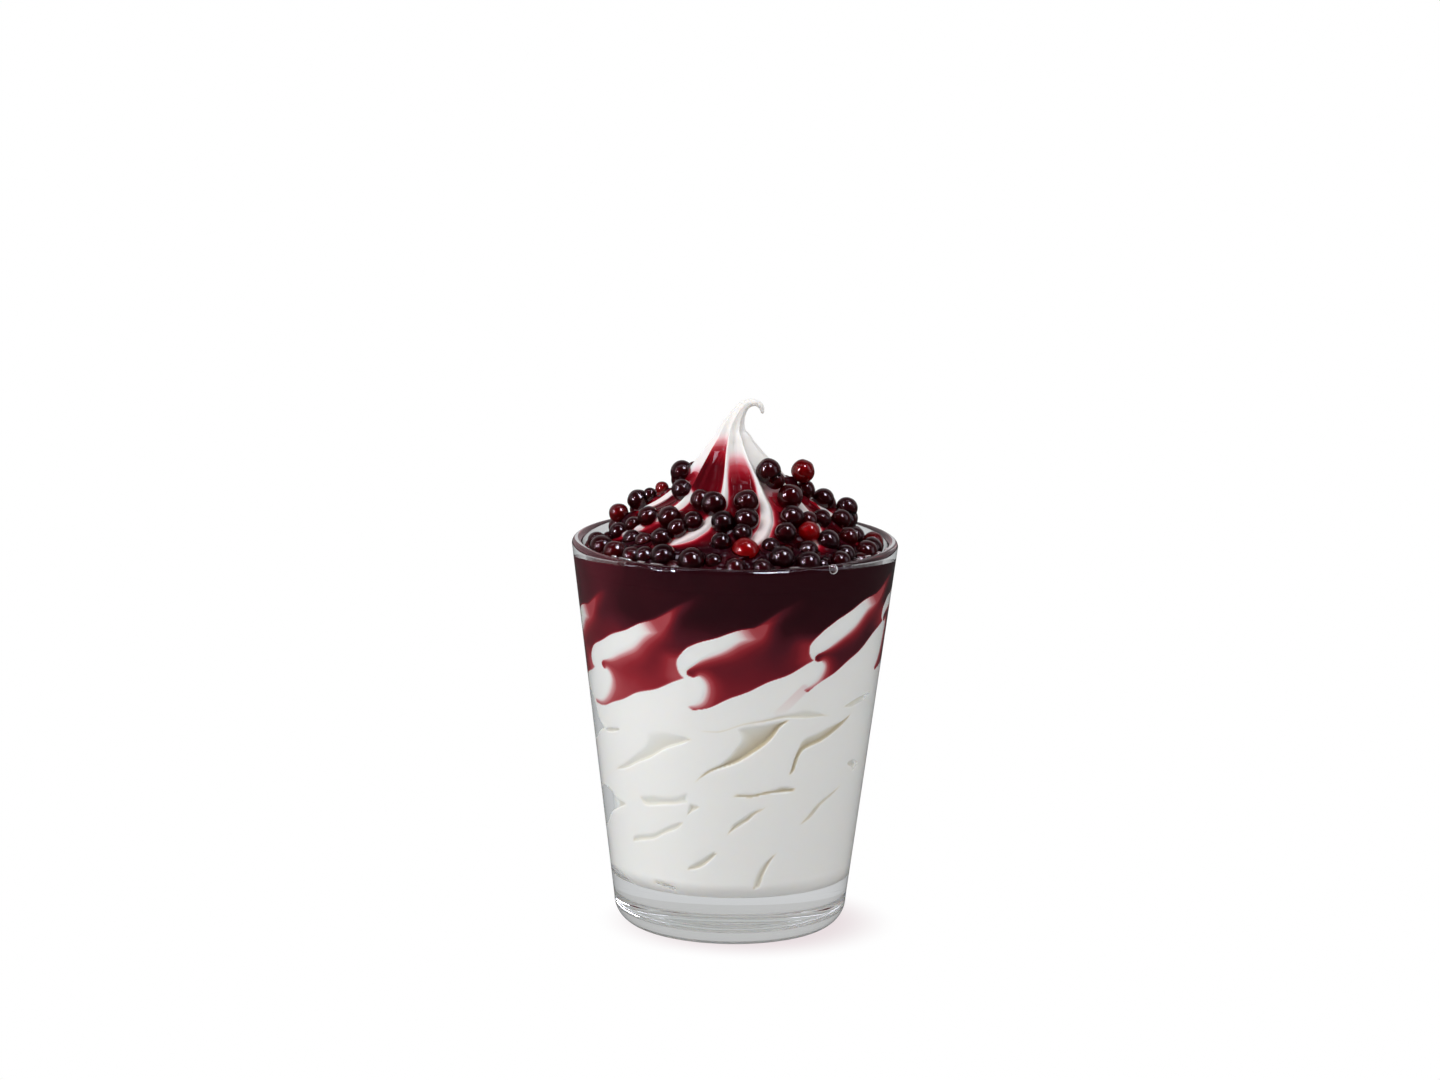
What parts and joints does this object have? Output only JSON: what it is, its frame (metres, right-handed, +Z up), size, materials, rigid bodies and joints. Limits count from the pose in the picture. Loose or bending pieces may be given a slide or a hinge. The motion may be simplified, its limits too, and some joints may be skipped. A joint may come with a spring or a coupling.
{
  "type": "ice cream sundae in a tumbler",
  "caption": "Soft-serve ice cream in a clear tapered tumbler, with berry sauce between its folds and a heap of syrup pearls round a hooked peak.",
  "frame": {"origin": "middle of the glass's flat foot, on the surface that it stands on", "axes": "+Z up along the glass's axis; -Y towards the side shown in the picture; the peak's tip hooks over towards +X"},
  "size_m": [0.092, 0.092, 0.1512],
  "materials": {
    "clear_glass": "clear, smooth, pressed glass with a thick base",
    "soft_serve": "smooth white ice cream, softly shining, a little see-through",
    "berry_sauce": "dark red sauce, brighter red where it is thin, wet gloss",
    "pearls": "near-black purple pearls with see-through red edges, wet gloss"
  },
  "bodies": {
    "root": {"glass": "clear_glass", "soft_serve": "soft_serve", "berry_sauce": "berry_sauce", "pearl_heap": "pearls"}
  },
  "joints": []
}
